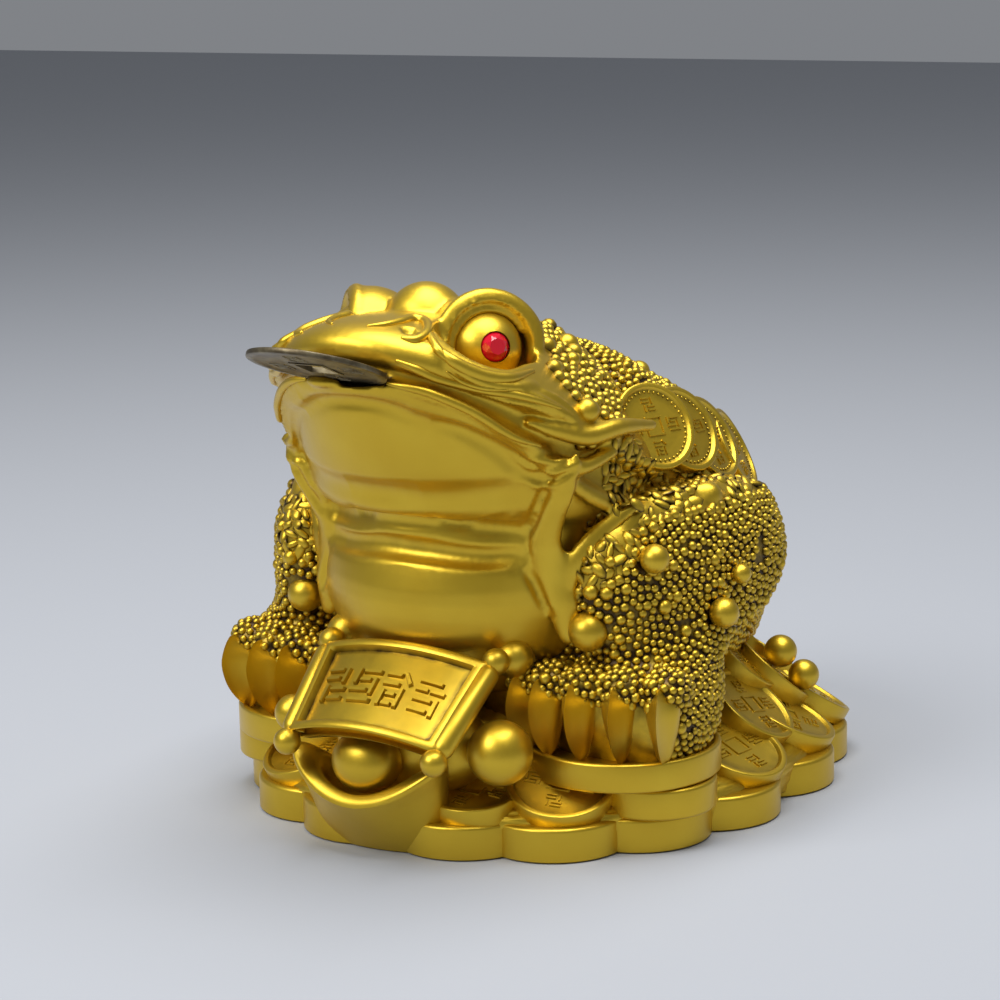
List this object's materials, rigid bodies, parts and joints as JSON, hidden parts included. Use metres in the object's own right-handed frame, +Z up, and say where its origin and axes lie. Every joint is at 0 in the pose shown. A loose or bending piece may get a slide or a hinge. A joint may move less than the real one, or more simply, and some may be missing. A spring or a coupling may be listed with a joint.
{
  "type": "money toad figure",
  "caption": "Cast money toad sitting on a heap of coins, with a loose coin held in its mouth and faceted red stones for eyes.",
  "frame": {"origin": "on the table under the middle of the whole figure's bounding box", "axes": "+X to the toad's left side, +Y towards its rump (it faces -Y), +Z up"},
  "size_m": [0.101, 0.141, 0.094],
  "materials": {
    "gold_paint": "satin metallic gold paint on cast polyresin, with a brown antiquing wash in the hollows",
    "old_brass": "dark antiqued brass, worn bright on the rim",
    "red_stone": "polished faceted red glass, foil-backed"
  },
  "bodies": {
    "root": {"toad_casting": "gold_paint", "mouth_coin": "old_brass", "left_eye_stone": "red_stone", "right_eye_stone": "red_stone"}
  },
  "joints": []
}
